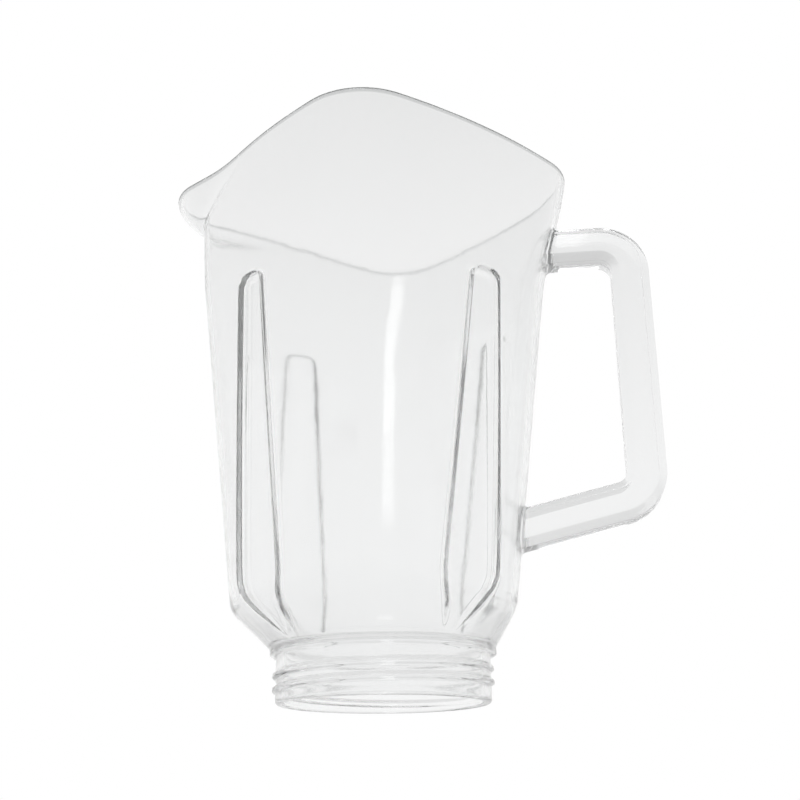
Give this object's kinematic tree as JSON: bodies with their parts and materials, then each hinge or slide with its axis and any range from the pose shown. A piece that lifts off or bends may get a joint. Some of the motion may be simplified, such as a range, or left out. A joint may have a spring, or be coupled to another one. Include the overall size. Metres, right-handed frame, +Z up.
{
  "type": "blender jar",
  "caption": "Clear moulded blender jar with a pouring spout, a loop handle, pressed flutes and an open threaded collar.",
  "frame": {"origin": "centre of the collar's bottom ring", "axes": "+Z up along the collar's bore, +X towards the handle, -X towards the spout"},
  "size_m": [0.1896, 0.1498, 0.204],
  "materials": {
    "clear_plastic": "clear and polished"
  },
  "bodies": {
    "root": {"jar": "clear_plastic"}
  },
  "joints": []
}
